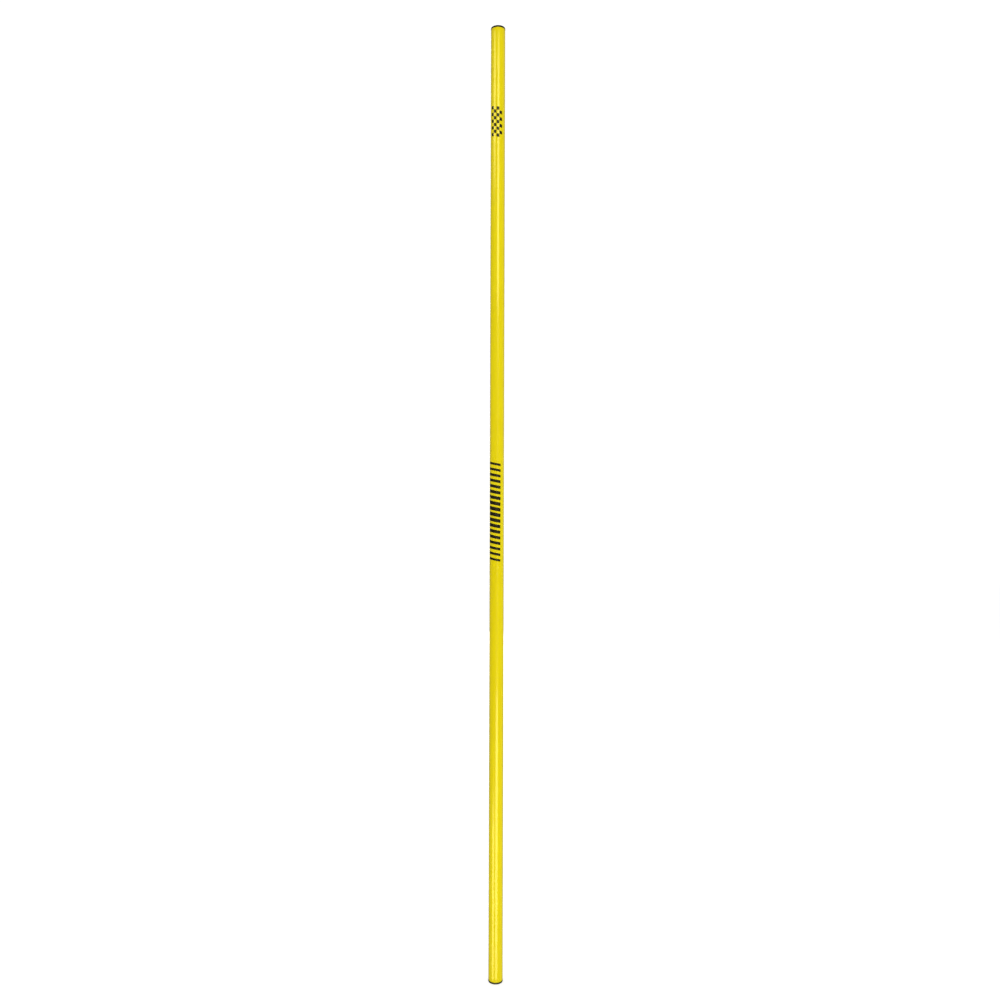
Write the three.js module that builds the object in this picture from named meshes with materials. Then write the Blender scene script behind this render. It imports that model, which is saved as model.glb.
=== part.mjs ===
// A slalom training pole: one straight extruded plastic tube, closed at each end by a
// moulded ribbed plug. Lengths are in millimetres and +Z is up. The origin is the centre
// of the lower plug's flat underside, the end that drops into a base or a ground socket.

import * as THREE from "three";

// The tube
const TUBE_LENGTH = 1700;
const TUBE_DIAMETER = 25.4; // one inch
const TUBE_WALL = 1.8;
const TUBE_EDGE_BREAK = 0.3; // bevel left by deburring the sawn ends

// The plug's head, which covers the sawn end of the tube
const HEAD_THICKNESS = 3;
const HEAD_OVERHANG = 0.2; // how far the head stands out past the tube all round
const HEAD_EDGE_RADIUS = 0.6;
const GATE_DIMPLE_DIAMETER = 3.2; // shallow recess round the moulding gate
const GATE_DIMPLE_DEPTH = 0.4;

// The plug's stem, a cup that opens into the tube and carries the ribs
const STEM_LENGTH = 16;
const STEM_WALL = 1.4;
const STEM_END_BREAK = 0.5; // bevel that guides the stem into the tube
const RIB_COUNT = 5;
const RIB_HEIGHT = 1.5; // from the stem's surface to the rib's tip
const RIB_TIP_THICKNESS = 0.6;
const RIB_ROOT_THICKNESS = 1.1;

// Fit of a plug in the tube
const SEAT_CLEARANCE = 0.1; // between the head's underside and the sawn end
const RIB_CLEARANCE = 0.1; // between a rib's tip and the bore

// Fineness of the round surfaces
const ROUND_SIDES = 72;
const EDGE_ARC_DIVISIONS = 2;

// Sizes that follow from the ones above
const tubeRadius = TUBE_DIAMETER / 2;
const boreRadius = tubeRadius - TUBE_WALL;
const headRadius = tubeRadius + HEAD_OVERHANG;
const ribRadius = boreRadius - RIB_CLEARANCE;
const stemRadius = ribRadius - RIB_HEIGHT;
const cupRadius = stemRadius - STEM_WALL;
const tubeBottom = HEAD_THICKNESS + SEAT_CLEARANCE;
const tubeTop = tubeBottom + TUBE_LENGTH;
const upperHeadUnderside = tubeTop + SEAT_CLEARANCE;

const yellowPlastic = new THREE.MeshStandardMaterial({
  name: "yellow_plastic",
  color: new THREE.Color("#e5d00a"),
  roughness: 0.15,
  metalness: 0,
});
const blackPlastic = new THREE.MeshStandardMaterial({
  name: "black_plastic",
  color: new THREE.Color("#151413"),
  roughness: 0.45,
  metalness: 0,
});

// Turns a profile of radius and height into a round solid that stands along +Z.
function revolve(profile) {
  const solid = new THREE.LatheGeometry(profile, ROUND_SIDES);
  solid.rotateX(Math.PI / 2);
  return solid;
}

// Half section of the tube, up the outside and down the bore, with its lower end at 0.
function tubeProfile() {
  const section = new THREE.Path();
  section.moveTo(boreRadius + TUBE_EDGE_BREAK, 0);
  section.lineTo(tubeRadius - TUBE_EDGE_BREAK, 0);
  section.lineTo(tubeRadius, TUBE_EDGE_BREAK);
  section.lineTo(tubeRadius, TUBE_LENGTH - TUBE_EDGE_BREAK);
  section.lineTo(tubeRadius - TUBE_EDGE_BREAK, TUBE_LENGTH);
  section.lineTo(boreRadius + TUBE_EDGE_BREAK, TUBE_LENGTH);
  section.lineTo(boreRadius, TUBE_LENGTH - TUBE_EDGE_BREAK);
  section.lineTo(boreRadius, TUBE_EDGE_BREAK);
  section.lineTo(boreRadius + TUBE_EDGE_BREAK, 0);
  return section.getPoints();
}

// Adds the ribs to a plug's section, from the stem's free end up to the head. Each rib
// has a flat upper face that holds against the bore and a sloping lower face to push in on.
function addRibs(section) {
  const pitch = (STEM_LENGTH - STEM_END_BREAK) / RIB_COUNT;
  for (let rib = RIB_COUNT - 1; rib >= 0; rib -= 1) {
    const upperFace = -(rib + 1 / 2) * pitch;
    section.lineTo(stemRadius, upperFace - RIB_ROOT_THICKNESS);
    section.lineTo(ribRadius, upperFace - RIB_TIP_THICKNESS);
    section.lineTo(ribRadius, upperFace);
    section.lineTo(stemRadius, upperFace);
  }
}

// Half section of a plug whose head's underside is at 0, with the stem below and the
// head above: out along the cup's floor, down the cup, up the ribs and over the head.
function plugProfile() {
  const section = new THREE.Path();
  section.moveTo(0, 0);
  section.lineTo(cupRadius, 0);
  section.lineTo(cupRadius, -STEM_LENGTH);
  section.lineTo(stemRadius - STEM_END_BREAK, -STEM_LENGTH);
  section.lineTo(stemRadius, STEM_END_BREAK - STEM_LENGTH);
  addRibs(section);
  section.lineTo(stemRadius, 0);
  section.lineTo(headRadius, 0);
  section.lineTo(headRadius, HEAD_THICKNESS - HEAD_EDGE_RADIUS);
  section.absarc(
    headRadius - HEAD_EDGE_RADIUS,
    HEAD_THICKNESS - HEAD_EDGE_RADIUS,
    HEAD_EDGE_RADIUS,
    0,
    Math.PI / 2,
    false,
  );
  section.lineTo(GATE_DIMPLE_DIAMETER / 2, HEAD_THICKNESS);
  section.lineTo(GATE_DIMPLE_DIAMETER / 2 - GATE_DIMPLE_DEPTH, HEAD_THICKNESS - GATE_DIMPLE_DEPTH);
  section.lineTo(0, HEAD_THICKNESS - GATE_DIMPLE_DEPTH);
  return section.getPoints(EDGE_ARC_DIVISIONS);
}

// The yellow tube, standing on the lower plug's head.
function makeTube() {
  const tube = new THREE.Mesh(revolve(tubeProfile()), yellowPlastic);
  tube.name = "pole_tube";
  tube.position.z = tubeBottom;
  return tube;
}

// A black end plug with its head's underside at the given height. The lower one is the
// same moulding turned over, so that its stem points up into the tube.
function makePlug(name, headUnderside, turnedOver) {
  const plug = new THREE.Mesh(revolve(plugProfile()), blackPlastic);
  plug.name = name;
  plug.position.z = headUnderside;
  plug.rotation.x = turnedOver ? Math.PI : 0;
  return plug;
}

const slalomPole = new THREE.Group();
slalomPole.add(makeTube());
slalomPole.add(makePlug("upper_end_plug", upperHeadUnderside, false));
slalomPole.add(makePlug("lower_end_plug", HEAD_THICKNESS, true));

export default slalomPole;
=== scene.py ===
# %% [markdown]
# A slalom pole for training
#
# The object is a straight plastic tube, 1.7 m long and an inch across, with a flat black plug
# pushed into each end. Players run round a row of such poles. This script builds its looks
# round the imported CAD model, which says where everything is and how big it is.
# Everything is in metres, +Z runs up the pole, and the photograph was taken from -Y.

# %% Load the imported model
import math

import bmesh
import bpy
import numpy as np
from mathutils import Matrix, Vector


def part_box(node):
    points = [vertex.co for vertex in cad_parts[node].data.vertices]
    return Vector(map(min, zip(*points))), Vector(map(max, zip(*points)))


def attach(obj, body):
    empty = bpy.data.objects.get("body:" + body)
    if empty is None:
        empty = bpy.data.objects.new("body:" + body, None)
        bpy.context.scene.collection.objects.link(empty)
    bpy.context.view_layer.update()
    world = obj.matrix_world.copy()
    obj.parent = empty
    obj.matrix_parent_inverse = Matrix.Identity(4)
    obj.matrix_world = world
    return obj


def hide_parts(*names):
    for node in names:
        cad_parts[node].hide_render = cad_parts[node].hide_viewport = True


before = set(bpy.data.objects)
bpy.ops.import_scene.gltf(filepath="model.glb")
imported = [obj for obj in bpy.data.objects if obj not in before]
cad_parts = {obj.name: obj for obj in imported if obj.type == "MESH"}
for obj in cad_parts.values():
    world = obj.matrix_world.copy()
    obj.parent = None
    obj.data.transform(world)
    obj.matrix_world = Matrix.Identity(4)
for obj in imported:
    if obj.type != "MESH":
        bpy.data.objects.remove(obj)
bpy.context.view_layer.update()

# %% [markdown]
# Sizes that drive the pieces
#
# The boxes of the CAD nodes give the main sizes, so those are read from the frame and not
# typed again. What no box shows, such as the wall of the tube and the gap between a plug's
# head and the sawn end, is typed where it is first needed, in millimetres times MM.

# %% Read the main sizes from the frame
MM = 0.001
WALL = 1.8 * MM
SEAT_GAP = 0.1 * MM

tube_low, tube_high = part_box("pole_tube")
upper_low, upper_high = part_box("upper_end_plug")
lower_low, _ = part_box("lower_end_plug")

tube_radius = tube_high.x
tube_bottom, tube_top = tube_low.z, tube_high.z
tube_length = tube_top - tube_bottom
bore_radius = tube_radius - WALL
head_radius = upper_high.x
head_thickness = upper_high.z - tube_top - SEAT_GAP
stem_length = upper_high.z - head_thickness - upper_low.z
print("tube", round(tube_length / MM, 2), "mm long,", round(2 * tube_radius / MM, 2), "mm across")
print("plug head", round(head_thickness / MM, 2), "mm thick, stem", round(stem_length / MM, 2), "mm")

# %% [markdown]
# From points to a mesh
#
# Each piece is a surface on a grid: rows of points, each row with the same number of points.
# Two neighbouring rows and two neighbouring columns bound one four-sided face. A round
# surface also joins its last column to its first, and a ring joins its last row to its
# first. The order of the corners makes every face look outwards.

# %% Faces of a grid, and a mesh made from them
def grid_faces(rows, columns, join_rows=False, join_columns=False):
    """The four corners of each face, row by row: a point, the next in its row, and the two above."""
    row = np.arange(rows if join_rows else rows - 1)[:, None]
    column = np.arange(columns if join_columns else columns - 1)[None, :]
    next_row, next_column = (row + 1) % rows, (column + 1) % columns
    corners = (
        row * columns + column,
        row * columns + next_column,
        next_row * columns + next_column,
        next_row * columns + column,
    )
    return np.stack(np.broadcast_arrays(*corners), axis=-1).reshape(-1, 4)


def make_piece(name, points, faces, sharp_degrees=35):
    """A smooth shaded object at the origin, with a sharp edge where faces meet at a larger angle."""
    mesh = bpy.data.meshes.new(name)
    mesh.from_pydata(points.reshape(-1, 3).tolist(), [], faces.tolist())
    mesh.polygons.foreach_set("use_smooth", np.ones(len(faces), dtype=bool))
    mesh.set_sharp_from_angle(angle=math.radians(sharp_degrees))
    mesh.update()
    piece = bpy.data.objects.new(name, mesh)
    bpy.context.scene.collection.objects.link(piece)
    return piece


def report(piece):
    """Prints how many faces a piece has and how large it is."""
    size = [round(side / MM, 2) for side in piece.dimensions]
    print(piece.name, "has", len(piece.data.polygons), "faces and measures", size, "mm")


print("a grid of 3 rows and 4 columns has", len(grid_faces(3, 4)), "faces")

# %% [markdown]
# Round the pole
#
# An angle of 0 is the front of the pole, which faces the photograph's camera, and angles grow
# towards the right of the picture. An extruded tube is never quite round or quite even. It
# leaves the die a little oval, and the puller's grip shows as a slow swell along its length.
# Both are a few hundredths of a millimetre, which is enough to make a reflection waver.

# %% The tube's outer surface
OVALNESS = 0.035 * MM
OVAL_TURN = math.radians(40)
SWELL = 0.012 * MM
SWELL_LENGTH = 210 * MM


def around(radius, angle, height):
    """Points at a radius and angle about the Z axis, with angle 0 at the front (-Y)."""
    radius, angle, height = np.broadcast_arrays(radius, angle, height)
    return np.stack([radius * np.sin(angle), -radius * np.cos(angle), height], axis=-1)


def skin_error(angle, height):
    """How far the surface is from a true cylinder: a cosine twice round the tube for the oval,
    plus a sine along it for the swell."""
    oval = OVALNESS * np.cos(2 * (angle - OVAL_TURN))
    swell = SWELL * np.sin(2 * np.pi * height / SWELL_LENGTH + angle)
    return oval + swell


def skin_radius(angle, height):
    """Radius of the tube's outer surface."""
    return tube_radius + skin_error(angle, height)


print("the skin strays", round((OVALNESS + SWELL) / MM, 3), "mm from a true cylinder at most")

# %% [markdown]
# The tube
#
# The real tube is extruded, sawn to length and deburred. So its section is a long thin
# rectangle with four rounded corners, carried once round the axis. The section is written as
# one closed run of points: up the outside, over the sawn end, down the bore and back.

# %% The section of the tube's wall
EDGE_BREAK = 0.3 * MM
ARC_STEPS = 4
STRIPS = 5
STRIP_ROWS = 42
BORE_ROWS = 10
TUBE_SIDES = 192


def arc(centre_radius, centre_height, start, stop):
    """Radii and heights on a quarter circle as large as the edge break, from one angle to another."""
    turn = np.radians(np.linspace(start, stop, ARC_STEPS + 1))
    return np.stack(
        [centre_radius + EDGE_BREAK * np.cos(turn), centre_height + EDGE_BREAK * np.sin(turn)],
        axis=-1,
    )


def tube_section():
    """The closed run of radius and height round the wall, and the number of faces in each part."""
    low, high = tube_bottom + EDGE_BREAK, tube_top - EDGE_BREAK
    outer_edge, inner_edge = tube_radius - EDGE_BREAK, bore_radius + EDGE_BREAK
    heights = np.linspace(low, high, STRIPS * STRIP_ROWS + 1)
    outside = np.stack([np.full_like(heights, tube_radius), heights], axis=-1)
    upper_rim = np.concatenate([arc(outer_edge, high, 0, 90), arc(inner_edge, high, 90, 180)])
    bore_heights = np.linspace(high, low, BORE_ROWS + 1)
    bore = np.stack([np.full_like(bore_heights, bore_radius), bore_heights], axis=-1)
    lower_rim = np.concatenate([arc(inner_edge, low, 180, 270), arc(outer_edge, low, 270, 360)])
    section = np.concatenate([outside, upper_rim[1:], bore[1:], lower_rim[1:-1]])
    rim_rows = 2 * ARC_STEPS + 1
    return section, [STRIP_ROWS] * STRIPS + [rim_rows, BORE_ROWS, rim_rows]


section, part_rows = tube_section()
print("the tube's section has", len(section), "points in", len(part_rows), "parts")

# %% Carry the section round the axis
tube_angles = np.linspace(-np.pi, np.pi, TUBE_SIDES, endpoint=False)
section_radius, section_height = section[:, :1], section[:, 1:]
share_of_wall = (section_radius - bore_radius) / WALL
wall_radius = section_radius + share_of_wall * skin_error(tube_angles, section_height)
tube_skin = make_piece(
    "tube_skin",
    around(wall_radius, tube_angles, section_height),
    grid_faces(len(section), TUBE_SIDES, join_rows=True, join_columns=True),
)
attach(tube_skin, "root")
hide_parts("pole_tube")
report(tube_skin)

# %% [markdown]
# A flat map of the tube
#
# A tube 1.7 m long and 80 mm round is an awkward shape for a square picture. A map is
# therefore made, for anyone who bakes the finish into an image: the outside is cut
# across into five lengths that lie side by side at the same scale both ways. The two sawn
# rims lie above them. The bore, which nobody sees, is pressed into what is left.

# %% Lay the parts of the section on a square sheet
SHEET_GAP = 3 * MM

around_tube = 2 * np.pi * tube_radius
sheet_side = STRIPS * (around_tube + SHEET_GAP)


def sheet_places():
    """Left, bottom, width and height on the sheet for each part of the section."""
    strip_height = (tube_length - 2 * EDGE_BREAK) / STRIPS
    rim_height = WALL + (np.pi / 2 - 1) * 2 * EDGE_BREAK
    step = around_tube + SHEET_GAP
    rim_bottom = strip_height + 2 * SHEET_GAP
    bore_bottom = rim_bottom + rim_height + SHEET_GAP
    bore_size = (sheet_side - 2 * SHEET_GAP, sheet_side - SHEET_GAP - bore_bottom)
    places = [(SHEET_GAP / 2 + n * step, SHEET_GAP, around_tube, strip_height) for n in range(STRIPS)]
    places.append((SHEET_GAP / 2, rim_bottom, around_tube, rim_height))
    places.append((SHEET_GAP, bore_bottom, *bore_size))
    places.append((SHEET_GAP / 2 + step, rim_bottom, around_tube, rim_height))
    return places


def tube_map():
    """Map places of each face's four corners: across by the angle, up by the length of the
    section passed since its part began."""
    across = np.arange(TUBE_SIDES + 1) / TUBE_SIDES
    steps = np.linalg.norm(np.diff(section, axis=0, append=section[:1]), axis=1)
    first, corners = 0, []
    for rows, (left, bottom, width, height) in zip(part_rows, sheet_places()):
        passed = np.concatenate([[0], np.cumsum(steps[first : first + rows])])
        u = left + width * across
        v = bottom + height * passed / passed[-1]
        sides = [(u[:-1], v[:-1]), (u[1:], v[:-1]), (u[1:], v[1:]), (u[:-1], v[1:])]
        part = [np.stack(np.broadcast_arrays(a[None, :], b[:, None]), axis=-1) for a, b in sides]
        corners.append(np.stack(part, axis=2).reshape(-1, 2))
        first += rows
    return np.concatenate(corners) / sheet_side


flat_map = tube_map()
tube_skin.data.uv_layers.new(name="OFBake").uv.foreach_set("vector", flat_map.ravel())
print("map corners from", flat_map.min(0).round(3), "to", flat_map.max(0).round(3))

# %% [markdown]
# The end plugs
#
# A plug is moulded in one shot: a flat round head, and a hollow stem with thin ribs that
# bend in the bore and hold. It is round all over, so one profile turned about the axis makes
# it. The profile is a list of corners, each with its own rounding, because no moulded edge
# is truly sharp. A real head also shows the mould: a fine line where its halves meet, a
# small pip where the plastic went in, and a faint hollow where the thick stem shrank.

# %% Sizes of the stem
STEM_WALL = 1.4 * MM
STEM_END_BREAK = 0.5 * MM
RIB_COUNT = 5
RIB_HEIGHT = 1.5 * MM
RIB_TIP = 0.6 * MM
RIB_ROOT = 1.1 * MM
RIB_GAP = 0.1 * MM

rib_radius = bore_radius - RIB_GAP
stem_radius = rib_radius - RIB_HEIGHT
cup_radius = stem_radius - STEM_WALL
print("ribs reach", round(rib_radius / MM, 2), "mm out in a bore of", round(bore_radius / MM, 2), "mm")

# %% Round the corners of a profile
CORNER_STEPS = 5
LARGEST_SHARE = 0.45


def rounded(corners):
    """A run of radius and height where each corner (radius, height, rounding) becomes a short
    curve: the parabola that leaves the first side one rounding before the corner and joins
    the second side one rounding after it. It takes at most LARGEST_SHARE of either side."""
    place = np.array([corner[:2] for corner in corners])
    ways = np.diff(place, axis=0)
    lengths = np.linalg.norm(ways, axis=1)
    ways = ways / lengths[:, None]
    share = np.linspace(0, 1, CORNER_STEPS + 1)[:, None]
    run = [place[:1]]
    for n in range(1, len(corners) - 1):
        reach = min(corners[n][2], LARGEST_SHARE * lengths[n - 1], LARGEST_SHARE * lengths[n])
        before, after = place[n] - reach * ways[n - 1], place[n] + reach * ways[n]
        bent = (1 - share) ** 2 * before + 2 * share * (1 - share) * place[n] + share**2 * after
        run.append(bent if reach > 0 else place[n : n + 1])
    return np.concatenate([*run, place[-1:]])


print("a rounded corner takes", CORNER_STEPS + 1, "points")

# %% The ribs, with the head's underside at height 0
SLOPE_ROUNDING = 0.25 * MM
LEADING_ROUNDING = 0.12 * MM
GRIPPING_ROUNDING = 0.08 * MM
FLAT_ROUNDING = 0.2 * MM


def rib_corners():
    """Corners of the ribs from the stem's free end to the head: each slopes out and drops back flat."""
    pitch = (stem_length - STEM_END_BREAK) / RIB_COUNT
    corners = []
    for rib in reversed(range(RIB_COUNT)):
        flat = -(rib + 0.5) * pitch
        corners += [
            (stem_radius, flat - RIB_ROOT, SLOPE_ROUNDING),
            (rib_radius, flat - RIB_TIP, LEADING_ROUNDING),
            (rib_radius, flat, GRIPPING_ROUNDING),
            (stem_radius, flat, FLAT_ROUNDING),
        ]
    return corners


print(RIB_COUNT, "ribs have", len(rib_corners()), "corners")

# %% The head's outer face
RIM_MARGIN = 1.6 * MM
DIMPLE_RADIUS = 1.6 * MM
DIMPLE_MARGIN = 0.3 * MM
SINK_DEPTH = 0.06 * MM
SINK_WIDTH = 1.1 * MM
FACE_POINTS = 40


def head_top():
    """The head's outer face from its rim to the dimple: flat, less a bell curve over the stem's wall."""
    radius = np.linspace(head_radius - RIM_MARGIN, DIMPLE_RADIUS + DIMPLE_MARGIN, FACE_POINTS)
    middle = (stem_radius + cup_radius) / 2
    sink = SINK_DEPTH * np.exp(-(((radius - middle) / SINK_WIDTH) ** 2))
    return np.stack([radius, head_thickness - sink], axis=-1)


lowest = head_top()[:, 1].min()
print("the outer face sinks by", round((head_thickness - lowest) / MM, 3), "mm over the stem's wall")

# %% The cup, the stem and the head's edge
CUP_DRAFT = 0.12 * MM
CUP_FLOOR_ROUNDING = 0.6 * MM
CUP_MOUTH_ROUNDING = 0.2 * MM
STEM_TIP_ROUNDING = 0.15 * MM
STEM_BREAK_ROUNDING = 0.2 * MM
STEM_ROOT_ROUNDING = 0.35 * MM
UNDERSIDE_ROUNDING = 0.12 * MM
HEAD_ROUNDING = 0.6 * MM
PARTING_LINE = 0.04 * MM
PARTING_HEIGHT = 0.3 * MM
PARTING_REACH = 0.06 * MM
PARTING_ROUNDING = 0.02 * MM


def outer_corners():
    """Out along the cup's floor, down the cup, up the ribs and over the head's edge."""
    side = head_radius - PARTING_LINE
    return [
        (0, 0, 0),
        (cup_radius, 0, CUP_FLOOR_ROUNDING),
        (cup_radius + CUP_DRAFT, -stem_length, CUP_MOUTH_ROUNDING),
        (stem_radius - STEM_END_BREAK, -stem_length, STEM_TIP_ROUNDING),
        (stem_radius, STEM_END_BREAK - stem_length, STEM_BREAK_ROUNDING),
        *rib_corners(),
        (stem_radius, 0, STEM_ROOT_ROUNDING),
        (side, 0, UNDERSIDE_ROUNDING),
        (side, PARTING_HEIGHT - PARTING_REACH, PARTING_ROUNDING),
        (head_radius, PARTING_HEIGHT, PARTING_ROUNDING),
        (side, PARTING_HEIGHT + PARTING_REACH, PARTING_ROUNDING),
        (side, head_thickness, HEAD_ROUNDING),
        (head_radius - RIM_MARGIN, head_thickness, 0),
    ]


print("the cup, the stem and the head's edge have", len(outer_corners()), "corners")

# %% The dimple and its pip
DIMPLE_DEPTH = 0.4 * MM
DIMPLE_SLOPE = 0.4 * MM
DIMPLE_EDGE_ROUNDING = 0.15 * MM
DIMPLE_FLOOR_ROUNDING = 0.2 * MM
PIP_RADIUS = 0.45 * MM
PIP_HEIGHT = 0.22 * MM
PIP_DRAFT = 0.08 * MM
PIP_FOOT_ROUNDING = 0.1 * MM
PIP_TOP_ROUNDING = 0.06 * MM


def dimple_corners():
    """From the head's outer face down to the dimple's floor, then up the pip and in to the axis."""
    floor_height = head_thickness - DIMPLE_DEPTH
    return [
        (DIMPLE_RADIUS + DIMPLE_MARGIN, head_thickness, 0),
        (DIMPLE_RADIUS, head_thickness, DIMPLE_EDGE_ROUNDING),
        (DIMPLE_RADIUS - DIMPLE_SLOPE, floor_height, DIMPLE_FLOOR_ROUNDING),
        (PIP_RADIUS, floor_height, PIP_FOOT_ROUNDING),
        (PIP_RADIUS - PIP_DRAFT, floor_height + PIP_HEIGHT, PIP_TOP_ROUNDING),
        (0, floor_height + PIP_HEIGHT, 0),
    ]


print("the dimple is", round(DIMPLE_DEPTH / MM, 2), "mm deep, its pip", round(PIP_HEIGHT / MM, 2), "mm high")

# %% The whole profile
profile = np.concatenate([rounded(outer_corners())[:-1], head_top(), rounded(dimple_corners())[1:]])
profile_reach = round(profile[:, 0].max() / MM, 3)
print("the plug's profile has", len(profile), "points and reaches", profile_reach, "mm out")

# %% Turn the profile about the axis for both plugs
PLUG_SIDES = 144
MERGE_DISTANCE = 0.0001 * MM


def close_poles(piece):
    """Merges the points that lie on the axis, so that each end of the profile is one point."""
    shape = bmesh.new()
    shape.from_mesh(piece.data)
    bmesh.ops.remove_doubles(shape, verts=shape.verts, dist=MERGE_DISTANCE)
    shape.to_mesh(piece.data)
    shape.free()


def make_plug(name, node, underside, turned_over):
    """Each point of the profile goes round the axis; a plug that is turned over has its Y and Z reversed."""
    angles = np.linspace(-np.pi, np.pi, PLUG_SIDES, endpoint=False)
    points = around(profile[:, :1], angles, profile[:, 1:])
    if turned_over:
        points = points * (1, -1, -1)
    points = points + (0, 0, underside)
    plug = make_piece(name, points, grid_faces(len(profile), PLUG_SIDES, join_columns=True))
    close_poles(plug)
    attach(plug, "root")
    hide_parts(node)
    report(plug)
    return plug


upper_plug = make_plug("upper_plug", "upper_end_plug", upper_high.z - head_thickness, False)
lower_plug = make_plug("lower_plug", "lower_end_plug", lower_low.z + head_thickness, True)

# %% [markdown]
# The prints
#
# The pole is printed in black in two places: a run of slanted bars at the middle, and a small
# chequer near the top. They could be painted by the tube's material, but ink is a film with a
# thickness of its own, so each mark is a thin curved slab that follows the tube's surface: an
# outer sheet a little above the surface, an inner one just inside it, and four edges.

# %% A slab of ink for each mark
INK_HEIGHT = 0.04 * MM
INK_DEPTH = 0.02 * MM
MARK_ROWS = 4


def slab_faces(rows, columns):
    """Faces of one slab: the outer sheet, the inner one facing the other way, and the four edges."""
    outer = np.arange(rows * columns).reshape(rows, columns)
    inner = outer + rows * columns
    sheet = grid_faces(rows, columns)
    faces = [sheet, sheet[:, ::-1] + rows * columns]
    edges = (
        (outer[0], inner[0]),
        (inner[-1], outer[-1]),
        (inner[:, 0], outer[:, 0]),
        (outer[:, -1], inner[:, -1]),
    )
    for a, b in edges:
        faces.append(np.stack([a[:-1], b[:-1], b[1:], a[1:]], axis=-1))
    return np.concatenate(faces)


print("a slab of 3 by 4 points has", len(slab_faces(3, 4)), "faces")


def print_marks(name, left, right, low, high, rise, columns):
    """One slab for each mark. A mark spans the angles from left to right and the heights from
    low to high, and its height changes by rise from the print's left edge to its right."""
    across = np.linspace(0, 1, columns)[None, None, :]
    up = np.linspace(0, 1, MARK_ROWS)[None, :, None]
    left, right, low, high = (np.asarray(side)[:, None, None] for side in (left, right, low, high))
    angle = left + (right - left) * across
    slant = rise * (angle - left.min()) / (right.max() - left.min())
    height = low + (high - low) * up + slant
    surface = skin_radius(angle, height)
    outer = around(surface + INK_HEIGHT, angle, height)
    inner = around(surface - INK_DEPTH, angle, height)
    points = np.stack([outer, inner], axis=1)
    one = slab_faces(MARK_ROWS, columns)
    first_points = np.arange(len(points))[:, None, None] * 2 * MARK_ROWS * columns
    piece = make_piece(name, points, (one[None] + first_points).reshape(-1, 4))
    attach(piece, "root")
    report(piece)
    return piece


# %% The run of bars at the middle of the pole
BAR_COUNT = 18
BAR_PITCH = 10 * MM
BAR_THICKNESS = 6.8 * MM
BAR_TAPER = 2.6 * MM
PRINT_RISE = -4.5 * MM
BARS_CENTRE = tube_bottom + 838 * MM
BAR_POINTS = 56
BARS_LEFT, BARS_RIGHT = math.radians(-76), math.radians(31)

bar_places = np.arange(BAR_COUNT) - (BAR_COUNT - 1) / 2
bar_middles = BARS_CENTRE + bar_places * BAR_PITCH - PRINT_RISE / 2
half_bars = (BAR_THICKNESS - BAR_TAPER * np.abs(bar_places) / bar_places.max()) / 2
middle_print = print_marks(
    "middle_print",
    np.full(BAR_COUNT, BARS_LEFT),
    np.full(BAR_COUNT, BARS_RIGHT),
    bar_middles - half_bars,
    bar_middles + half_bars,
    PRINT_RISE,
    columns=BAR_POINTS,
)

# %% The chequer near the top
SQUARE_COLUMNS = 4
SQUARE_ROWS = 9
SQUARE_GAP = 0.15 * MM
SQUARE_POINTS = 14
CHEQUER_CENTRE = tube_top - 168 * MM
CHEQUER_HEIGHT = 54 * MM
CHEQUER_LEFT, CHEQUER_RIGHT = math.radians(-58), math.radians(37)

row, column = np.divmod(np.arange(SQUARE_ROWS * SQUARE_COLUMNS), SQUARE_COLUMNS)
inked = (row + column) % 2 == 0
row, column = row[inked], column[inked]
square_width = (CHEQUER_RIGHT - CHEQUER_LEFT) / SQUARE_COLUMNS
square_height = CHEQUER_HEIGHT / SQUARE_ROWS
first_height = CHEQUER_CENTRE - CHEQUER_HEIGHT / 2 - PRINT_RISE / 2
angle_gap = SQUARE_GAP / tube_radius
upper_print = print_marks(
    "upper_print",
    CHEQUER_LEFT + column * square_width,
    CHEQUER_LEFT + (column + 1) * square_width - angle_gap,
    first_height + row * square_height,
    first_height + (row + 1) * square_height - SQUARE_GAP,
    PRINT_RISE,
    columns=SQUARE_POINTS,
)

# %% [markdown]
# Writing materials as sums
#
# A material is a network of small nodes. Wiring them by hand hides the idea, so a value that
# flows through the network is wrapped in a class that knows arithmetic: `1 - mask * 0.3` adds
# the Math nodes by itself. Every other node comes from one method, which takes the kind of
# node, its settings, and what goes into its sockets.

# %% A value that flows through a material
class Signal:
    """The output of a node. Arithmetic on it adds Math nodes to the same material."""

    def __init__(self, shader, made, out):
        self.shader, self.made = shader, made
        self.socket = made.outputs[out]

    def __getitem__(self, out):
        """Another output of the same node."""
        return Signal(self.shader, self.made, out)

    def math(self, operation, first, second):
        """A Math node on two values, each of them a Signal or a number."""
        return self.shader.node("ShaderNodeMath", {"operation": operation}, {0: first, 1: second})

    def __add__(self, other):
        return self.math("ADD", self, other)

    def __sub__(self, other):
        return self.math("SUBTRACT", self, other)

    def __rsub__(self, other):
        return self.math("SUBTRACT", other, self)

    def __mul__(self, other):
        return self.math("MULTIPLY", self, other)

    __radd__ = __add__
    __rmul__ = __mul__


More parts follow.
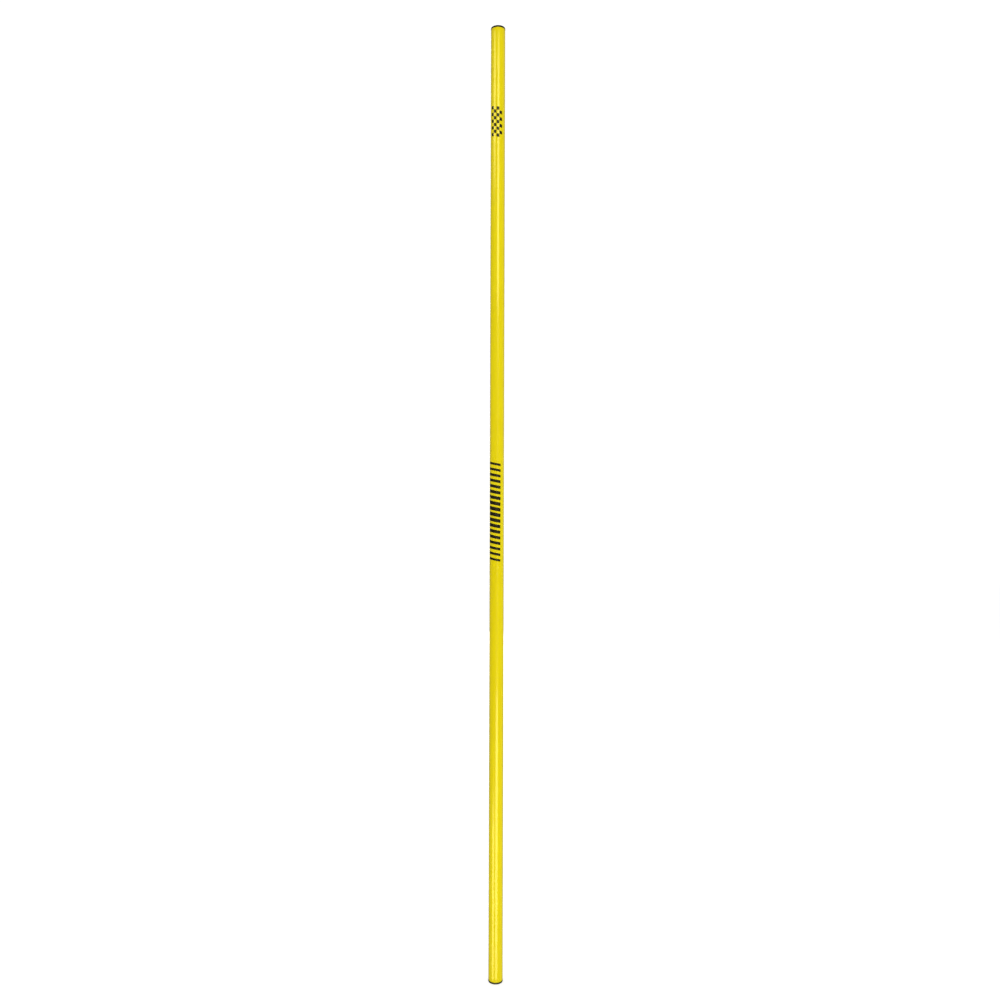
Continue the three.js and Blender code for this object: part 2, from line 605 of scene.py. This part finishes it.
class Shader:
    """The node network of a material or of the world, emptied and ready for new nodes."""

    def __init__(self, owner):
        owner.use_nodes = True
        self.tree = owner.node_tree
        self.tree.nodes.clear()

    def node(self, kind, settings=None, sockets=None, out=0):
        """Adds one node: settings first, then a value or a Signal for each socket."""
        made = self.tree.nodes.new(kind)
        for name, value in (settings or {}).items():
            setattr(made, name, value)
        for name, value in (sockets or {}).items():
            if isinstance(value, Signal):
                self.tree.links.new(value.socket, made.inputs[name])
            else:
                made.inputs[name].default_value = value
        return Signal(self, made, out) if made.outputs else made

    def place(self):
        """The point on the object, in metres."""
        return self.node("ShaderNodeTexCoord", out="Object")

    def stretched(self, place, scale):
        """The place with each axis times its own number; a small number draws a pattern out."""
        return self.node("ShaderNodeVectorMath", {"operation": "MULTIPLY"}, {0: place, 1: scale})

    def noise(self, place, size, detail=2.0, roughness=0.5):
        """A soft random value about 0.5, in blotches about as large as size."""
        sockets = {"Vector": place, "Scale": 1 / size, "Detail": detail, "Roughness": roughness}
        return self.node("ShaderNodeTexNoise", None, sockets)

    def ease(self, value, start, stop):
        """0 before start, 1 after stop, and an S curve between them."""
        settings = {"interpolation_type": "SMOOTHSTEP"}
        return self.node("ShaderNodeMapRange", settings, {0: value, 1: start, 2: stop})

    def blend(self, factor, first, second):
        """One colour turning into another as the factor goes from 0 to 1."""
        return self.node("ShaderNodeMix", {"data_type": "RGBA"}, {0: factor, 6: first, 7: second}, 2)

    def bump(self, height):
        """A normal that shows the height, which is in metres, as relief."""
        return self.node("ShaderNodeBump", None, {"Strength": 1.0, "Distance": 1.0, "Height": height})

    def plastic(self, colour, roughness, normal, **fixed):
        """A plain plastic surface; what is the same all over it is set on the shader's own socket."""
        sockets = {"Base Color": colour, "Roughness": roughness, "Normal": normal, **fixed}
        return self.node("ShaderNodeBsdfPrincipled", None, sockets)


def new_material(name, make_surface):
    """A material whose surface is what the given function builds."""
    material = bpy.data.materials.new(name)
    shader = Shader(material)
    shader.node("ShaderNodeOutputMaterial", None, {"Surface": make_surface(shader)})
    print("material", name, "has", len(shader.tree.nodes), "nodes")
    return material


# %% [markdown]
# Yellow tube plastic
#
# Extruded PVC comes out glossy, with fine lines along its length from scratches in the die,
# and slightly lighter and darker bands where the colour isn't mixed evenly. Both run
# lengthwise, so the noise for each is drawn out along Z. A few dust nibs, faint hairlines from
# being handled, and rubbing where the pole slides into its base keep it from looking painted.

# %% Colours and sizes of the tube's finish
YELLOW_DEEP = (0.765, 0.612, 0.0012, 1)
YELLOW_LIGHT = (0.825, 0.684, 0.0018, 1)
YELLOW_RUBBED = (0.83, 0.72, 0.06, 1)
DRAWN_OUT = (1, 1, 0.006)
DIE_LINE_SIZE = 0.9 * MM
DIE_LINE_HEIGHT = 0.003 * MM
BAND_SIZE = 9 * MM
MOTTLE_SIZE = 70 * MM
SHADE_LEVELS = (0.3, 0.7)
NIB_SPACING = 1.4 * MM
NIB_LEVELS = (0.76, 0.84)
NIB_HEIGHT = 0.008 * MM
HAIRLINES_DRAWN_OUT = (1, 1, 0.03)
HAIRLINE_SIZE = 0.5 * MM
HAIRLINE_LEVELS = (0.7, 0.76)
RUB_DEPTH = 0.002 * MM
PATCH_SIZE = 45 * MM
PATCH_LEVELS = (0.5, 0.7)
SOCKET_DEPTH = 80 * MM
BASE_EDGE = (0.7 * SOCKET_DEPTH, 1.1 * SOCKET_DEPTH)
TUBE_ROUGHNESS = 0.11
TUBE_IOR = 1.53

# %% The material of the tube
def tube_surface(shader):
    """Glossy yellow. In each sum a number says how much the thing beside it counts."""
    place = shader.place()
    drawn = shader.stretched(place, DRAWN_OUT)
    die_lines = shader.noise(drawn, DIE_LINE_SIZE, detail=3)
    bands = shader.noise(drawn, BAND_SIZE)
    mottle = shader.noise(place, MOTTLE_SIZE, detail=3)
    nibs = shader.ease(shader.noise(place, NIB_SPACING, detail=1), *NIB_LEVELS)
    hairlines = shader.noise(shader.stretched(place, HAIRLINES_DRAWN_OUT), HAIRLINE_SIZE, detail=1)
    scratched = shader.ease(hairlines, *HAIRLINE_LEVELS)
    patches = shader.ease(shader.noise(place, PATCH_SIZE), *PATCH_LEVELS)
    height = shader.node("ShaderNodeSeparateXYZ", None, {0: place}, "Z")
    in_base = 1 - shader.ease(height, *BASE_EDGE)
    rubbed = scratched * (0.35 * patches + 0.5 * in_base)
    shade = shader.ease(0.6 * bands + 0.4 * mottle, *SHADE_LEVELS)
    colour = shader.blend(shade, YELLOW_DEEP, YELLOW_LIGHT)
    colour = shader.blend(0.3 * rubbed, colour, YELLOW_RUBBED)
    roughness = TUBE_ROUGHNESS + 0.05 * die_lines + 0.03 * mottle + 0.22 * rubbed + 0.04 * in_base
    relief = DIE_LINE_HEIGHT * die_lines + NIB_HEIGHT * nibs - RUB_DEPTH * rubbed
    return shader.plastic(colour, roughness, shader.bump(relief), IOR=TUBE_IOR)


yellow_plastic = new_material("yellow tube plastic", tube_surface)
tube_skin.data.materials.append(yellow_plastic)

# %% [markdown]
# Black plug plastic
#
# The plugs are soft black polyethylene from a mould with a fine spark-eroded face, so they
# are satin, with a grain of about a quarter of a millimetre. The plastic is a little duller
# round the point where it entered. The rim, which knocks against things, is worn smoother
# and greyer, and the end face has scuffs from the ground that all run roughly one way.

# %% Colours and sizes of the plugs' finish
BLACK = (0.005, 0.0045, 0.004, 1)
BLACK_WORN = (0.028, 0.027, 0.026, 1)
FROM_ABOVE = (1, 1, 0)
GRAIN_SIZE = 0.25 * MM
GRAIN_HEIGHT = 0.006 * MM
FLOW_SIZE = 6 * MM
GATE_REACH = 3.5 * DIMPLE_RADIUS
WORN_RIM = (head_radius - 1.1 * MM, head_radius - 0.3 * MM)
SCUFFS_DRAWN_OUT = (0.06, 1, 1)
SCUFF_SIZE = 0.3 * MM
SCUFF_LEVELS = (0.66, 0.74)
SCUFF_DEPTH = 0.004 * MM
PLUG_ROUGHNESS = 0.4
PLUG_IOR = 1.51

# %% The material of the plugs
def plug_surface(shader):
    """Satin black. In each sum a number says how much the thing beside it counts."""
    place = shader.place()
    flat = shader.stretched(place, FROM_ABOVE)
    from_axis = shader.node("ShaderNodeVectorMath", {"operation": "LENGTH"}, {0: flat}, "Value")
    grain = shader.noise(place, GRAIN_SIZE, detail=2)
    flow = shader.noise(place, FLOW_SIZE, detail=2)
    gate = 1 - shader.ease(from_axis, DIMPLE_RADIUS, GATE_REACH)
    rim = shader.ease(from_axis, *WORN_RIM)
    scuff_noise = shader.noise(shader.stretched(place, SCUFFS_DRAWN_OUT), SCUFF_SIZE, detail=1)
    scuffs = shader.ease(scuff_noise, *SCUFF_LEVELS)
    worn = 0.3 * rim * flow + 0.4 * scuffs
    colour = shader.blend(worn, BLACK, BLACK_WORN)
    roughness = PLUG_ROUGHNESS + 0.1 * flow + 0.08 * gate - 0.08 * rim + 0.1 * scuffs
    relief = GRAIN_HEIGHT * grain - SCUFF_DEPTH * scuffs
    return shader.plastic(colour, roughness, shader.bump(relief), IOR=PLUG_IOR)


black_plastic = new_material("black plug plastic", plug_surface)
for plug in (upper_plug, lower_plug):
    plug.data.materials.append(black_plastic)

# %% [markdown]
# Printing ink
#
# Screen ink dries to an even satin film. It is a little thin in places, where the yellow
# under it makes the black browner, and the mesh of the screen leaves a faint texture.

# %% The material of the prints
INK_FULL = (0.0085, 0.006, 0.0012, 1)
INK_THIN = (0.04, 0.028, 0.0012, 1)
SCREEN_MESH = 0.35 * MM
SCREEN_RELIEF = 0.003 * MM
COVERAGE_SIZE = 4 * MM
THIN_LEVELS = (0.5, 0.8)
INK_ROUGHNESS = 0.34
INK_IOR = 1.5


def ink_surface(shader):
    """Satin ink, browner where it is thin. The numbers in the sum are how much each thing counts."""
    place = shader.place()
    weave = shader.noise(place, SCREEN_MESH, detail=1)
    coverage = shader.noise(place, COVERAGE_SIZE, detail=4, roughness=0.6)
    thin = shader.ease(coverage, *THIN_LEVELS)
    colour = shader.blend(thin, INK_FULL, INK_THIN)
    roughness = INK_ROUGHNESS + 0.12 * coverage + 0.05 * weave
    return shader.plastic(colour, roughness, shader.bump(SCREEN_RELIEF * weave), IOR=INK_IOR)


black_ink = new_material("black ink", ink_surface)
for printed in (middle_print, upper_print):
    printed.data.materials.append(black_ink)

# %% [markdown]
# The camera
#
# The photograph shows the whole pole upright, from about half its height and square to it.
# The distance follows from the curve of the plugs' heads, which are seen from below at the top
# and from above at the bottom, and the lens then follows from the pole's height in the
# picture. The pole leans by a sixth of a degree there, so the camera is rolled by as much.

# %% Place the camera
PICTURE_SIDE = 1000
FOCAL_PIXELS = 855.4
CAMERA_DISTANCE = 1.5335
CAMERA_HEIGHT = 0.8616
CAMERA_RIGHT = 0.0057
CAMERA_ROLL = -0.00277
SENSOR_MM = 36

camera_data = bpy.data.cameras.new("camera")
camera_data.sensor_width = SENSOR_MM
camera_data.lens = SENSOR_MM * FOCAL_PIXELS / PICTURE_SIDE
camera = bpy.data.objects.new("camera", camera_data)
camera.location = (CAMERA_RIGHT, -CAMERA_DISTANCE, CAMERA_HEIGHT)
camera.rotation_euler = (math.pi / 2, CAMERA_ROLL, 0)
bpy.context.scene.collection.objects.link(camera)
bpy.context.scene.camera = camera
print("the lens is", round(camera_data.lens, 2), "mm")

# %% [markdown]
# The studio
#
# The photograph has a white background and soft light that is nearly even all round, a
# little stronger from the front right. One sphere of light, the world, can give a different
# level to each kind of ray. The camera sees it a touch over white, so that no grain shows.
# Matt surfaces get an even level from it, a little less from behind, and the lamps further
# down add the rest. In the gloss of the plastic the room is white straight behind the pole,
# pale at both sides and dark in front, as it is when a white backdrop is lit and the
# photographer stands in the dark: that keeps the yellow clean and lights only the edges.

# %% What the world gives to each kind of ray
SEEN_WHITE = 1.05
MIRRORED_WHITE = 1.0
FILL_LEVEL = 0.74
FILL_LOSS_BEHIND = 0.3
MIRRORED_SIDES = 0.24
MIRRORED_SLOPE = 0.1
SIDES_BEGIN = (-0.25, 0.15)
SIDES_END = (0.35, 0.8)
BACKDROP_EDGE = (0.94, 1.0)
FILL_FADE = (0.2, 1.0)


def studio_strength(shader):
    """A level for each kind of ray: the camera's, those that left matt surfaces, and those that
    left gloss. S curves of the direction's Y, which is 1 straight behind the pole, mix them."""
    path = shader.node("ShaderNodeLightPath")
    seen = path["Is Camera Ray"] + path["Is Transmission Ray"]
    mirrored = path["Is Glossy Ray"]
    direction = shader.node("ShaderNodeTexCoord", out="Generated")
    towards = shader.node("ShaderNodeSeparateXYZ", None, {0: direction})
    sides = shader.ease(towards["Y"], *SIDES_BEGIN) * (1 - shader.ease(towards["Y"], *SIDES_END))
    in_gloss = (MIRRORED_SIDES + MIRRORED_SLOPE * towards["X"]) * sides
    in_gloss = in_gloss + MIRRORED_WHITE * shader.ease(towards["Y"], *BACKDROP_EDGE)
    fill = FILL_LEVEL - FILL_LOSS_BEHIND * shader.ease(towards["Y"], *FILL_FADE)
    return SEEN_WHITE * seen + in_gloss * mirrored + fill * (1 - seen - mirrored)


world = bpy.data.worlds.new("studio")
bpy.context.scene.world = world
room = Shader(world)
strength = studio_strength(room)
background = room.node("ShaderNodeBackground", None, {"Color": (1, 1, 1, 1), "Strength": strength})
room.node("ShaderNodeOutputWorld", None, {"Surface": background})
print("the world has", len(room.tree.nodes), "nodes")

# %% [markdown]
# The floor
#
# The floor is a wide pale disc. A little light of its own, which lights nothing else, lifts it
# to white for the camera, and it still shows the soft shadow at the pole's foot. Reflections
# pass through it, so that the gloss of the pole's lower half sees the same room as its upper
# half. It casts no shadow of its own, because the lamps reach a little way below it.

# %% Make the floor
FLOOR_RADIUS = 9.0
FLOOR_RINGS = 24
FLOOR_SIDES = 96
FLOOR_PALE = (0.8, 0.8, 0.8, 1)
FLOOR_GLOW = 0.46


def floor_surface(shader):
    """Pale and matt, with a glow for the camera's rays and for those that come by glass or gloss."""
    path = shader.node("ShaderNodeLightPath")
    seen = path["Is Camera Ray"] + path["Is Transmission Ray"] + path["Is Glossy Ray"]
    pale = shader.node("ShaderNodeBsdfDiffuse", None, {"Color": FLOOR_PALE})
    glow = shader.node("ShaderNodeEmission", None, {"Strength": FLOOR_GLOW * seen})
    return shader.node("ShaderNodeAddShader", None, {0: pale, 1: glow})


floor_angles = np.linspace(-np.pi, np.pi, FLOOR_SIDES, endpoint=False)
floor_rings = (FLOOR_RADIUS * np.linspace(1, 0, FLOOR_RINGS + 1) ** 2)[:, None]
floor = make_piece(
    "floor",
    around(floor_rings, floor_angles, 0.0),
    grid_faces(FLOOR_RINGS + 1, FLOOR_SIDES, join_columns=True),
)
close_poles(floor)
floor.data.materials.append(new_material("pale floor", floor_surface))
floor.visible_glossy = False
floor.visible_shadow = False
report(floor)

# %% [markdown]
# The lamps
#
# A lamp does two jobs: it lights the surface, and it shows as a bright patch in the gloss.
# Here the jobs are split. A large key lamp, a weaker one behind and a small one at the foot,
# where the photograph grows a little brighter, only light. Panels only show in the gloss,
# where they draw the bright streaks that run down the front, and one for the unseen back.
# Their light is tinted, because the streaks in the photograph are pale yellow, and the ones
# at the left are yellower than those in the middle.
# A streak at one height of the pole mirrors a point further up or down, along the line from
# the camera, so a panel's ends follow from where its streak starts and stops.

# %% Area lamps that stand round the pole
def area_lamp(name, degrees, distance, low, high, width, radiance, colour=(1, 1, 1)):
    """A rectangle that faces the pole's axis. Its power is its radiance times its area times 4,
    which is how Blender counts an area lamp."""
    lamp_data = bpy.data.lights.new(name, "AREA")
    lamp_data.shape = "RECTANGLE"
    lamp_data.size, lamp_data.size_y = width, high - low
    lamp_data.energy = 4 * radiance * width * (high - low)
    lamp_data.color = colour
    lamp = bpy.data.objects.new(name, lamp_data)
    angle = math.radians(degrees)
    lamp.location = (distance * math.sin(angle), -distance * math.cos(angle), (low + high) / 2)
    lamp.rotation_euler = (math.pi / 2, 0, angle)
    lamp.visible_camera = False
    bpy.context.scene.collection.objects.link(lamp)
    return lamp


KEY_DISTANCE = 4.0
KEY_WIDTH = 1.8
KEY_LOW, KEY_HIGH = -0.4, 2.4


def lighting_lamp(name, degrees, level, distance, low, high, width):
    """A lamp that lights matt surfaces facing it by the given level, and doesn't show in gloss."""
    radiance = level * math.pi * distance**2 / (width * (high - low))
    lamp = area_lamp(name, degrees, distance, low, high, width, radiance)
    lamp.visible_glossy = False
    print(name, "gives a level of", level, "from", distance, "m")


large_lamp = {"distance": KEY_DISTANCE, "low": KEY_LOW, "high": KEY_HIGH, "width": KEY_WIDTH}
lighting_lamp("key lamp", degrees=14, level=0.29, **large_lamp)
lighting_lamp("back lamp", degrees=194, level=0.25, **large_lamp)
lighting_lamp("foot lamp", degrees=0, level=0.1, distance=0.5, low=-0.05, high=0.25, width=0.4)

# %% Panels that only show in the gloss
PANEL_DISTANCE = 2.2
FRONT_TINT = (1.0, 0.97, 0.52)
LEFT_TINT = (1.0, 0.92, 0.4)


def mirror_panel(name, degrees, width, streak, radiance, tint):
    """A panel whose reflection runs between two heights on the pole, as the photograph's camera
    sees it. The line from the camera to the pole goes on rising at the same rate after it."""
    reach = PANEL_DISTANCE / CAMERA_DISTANCE
    low, high = (end + reach * (end - CAMERA_HEIGHT) for end in streak)
    panel = area_lamp(name, degrees, PANEL_DISTANCE, low, high, width, radiance, tint)
    panel.visible_diffuse = False
    print(name, "stands from", round(low, 2), "to", round(high, 2), "m")


mirror_panel("upper front panel", degrees=8, width=1.15, streak=(1.21, 1.68), radiance=4.2, tint=FRONT_TINT)
mirror_panel("lower front panel", degrees=9, width=1.4, streak=(-0.05, 0.515), radiance=4.1, tint=FRONT_TINT)
mirror_panel("upper left panel", degrees=-55, width=1.4, streak=(1.44, 1.7), radiance=3.9, tint=LEFT_TINT)
mirror_panel("lower left panel", degrees=-45, width=1.2, streak=(-0.05, 0.31), radiance=4.6, tint=LEFT_TINT)
mirror_panel("back panel", degrees=182, width=0.4, streak=(-0.05, 1.78), radiance=4.5, tint=FRONT_TINT)

# %% [markdown]
# Colours as written
#
# The Standard view shows a colour as it is, without the film look that Blender starts with.

# %% View and the end
bpy.context.scene.view_settings.view_transform = "Standard"
